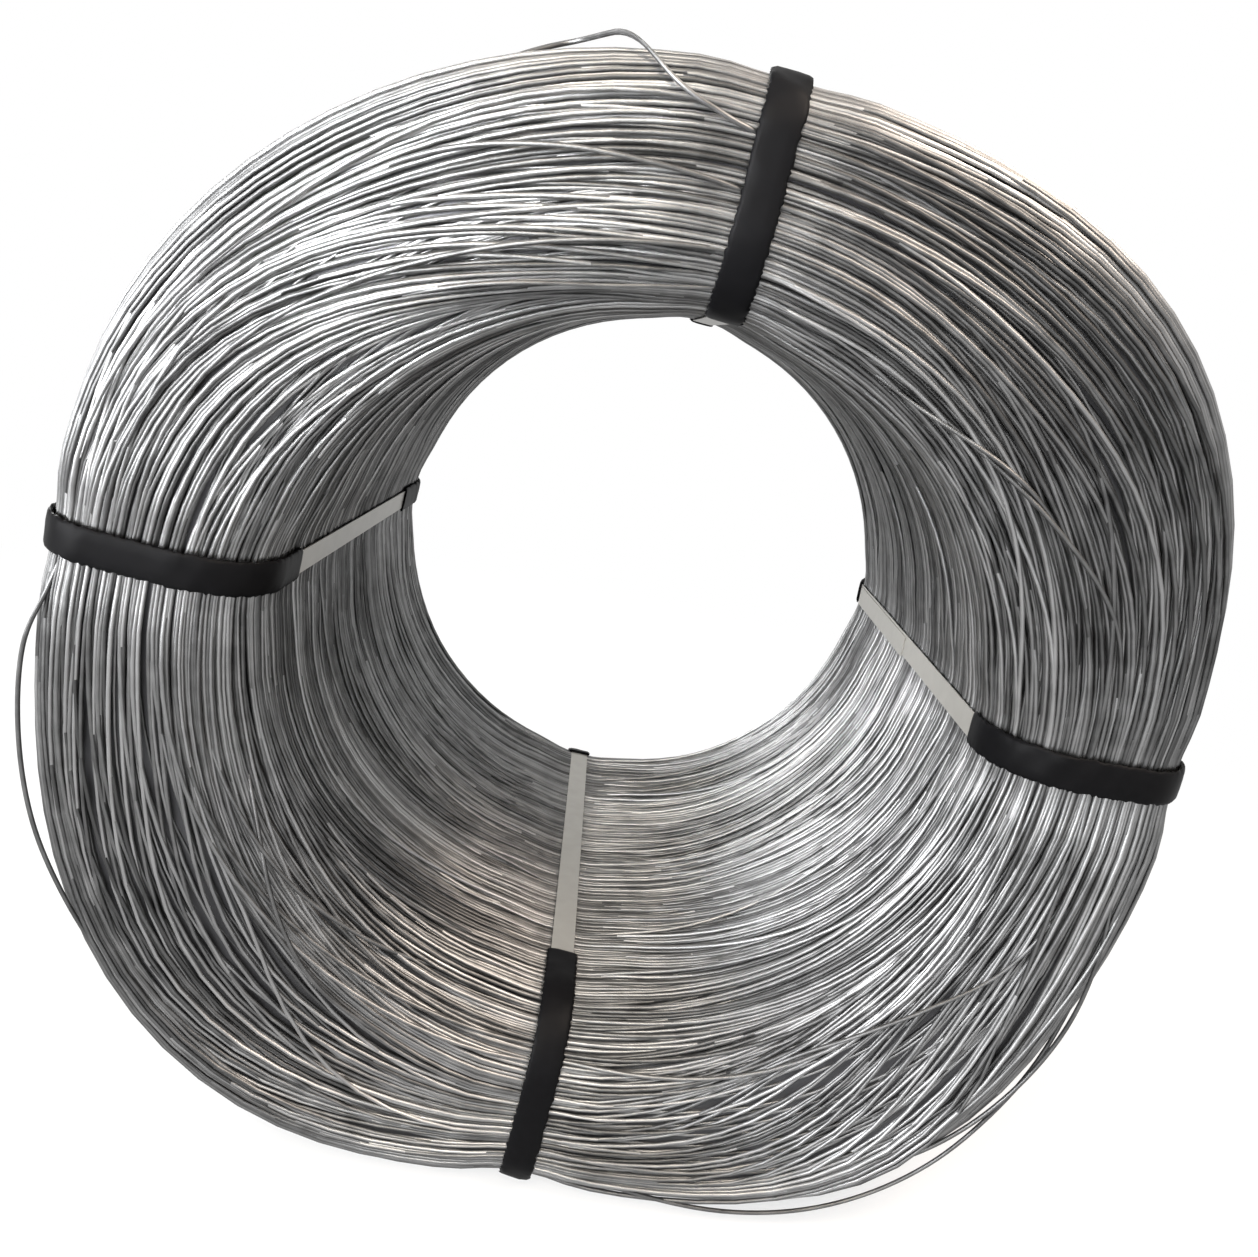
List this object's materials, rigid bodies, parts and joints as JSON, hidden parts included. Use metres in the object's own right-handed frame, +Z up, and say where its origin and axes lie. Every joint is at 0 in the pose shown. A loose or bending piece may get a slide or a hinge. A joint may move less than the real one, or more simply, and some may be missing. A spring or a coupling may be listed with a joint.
{
  "type": "coil of galvanised steel wire",
  "caption": "Large coil of galvanised steel wire standing on its rim, wound round an open bore and bound by flat steel straps in black plastic sleeves.",
  "frame": {"origin": "middle of the bore, on its axis, midway between the two faces", "axes": "+Y along the bore's axis away from the front face, +Z up as the coil stands on its rim, +X to the right seen from the front"},
  "size_m": [0.8057, 0.5618, 0.8208],
  "materials": {
    "galvanised_wire": "bright drawn zinc",
    "strap_steel": "satin grey steel strap",
    "sleeve_plastic": "black satin plastic"
  },
  "bodies": {
    "root": {"wire_coil": "galvanised_wire", "steel_strap_top": "strap_steel", "steel_strap_right": "strap_steel", "steel_strap_bottom": "strap_steel", "steel_strap_left": "strap_steel", "strap_sleeve_top": "sleeve_plastic", "strap_sleeve_right": "sleeve_plastic", "strap_sleeve_bottom": "sleeve_plastic", "strap_sleeve_left": "sleeve_plastic"}
  },
  "joints": []
}
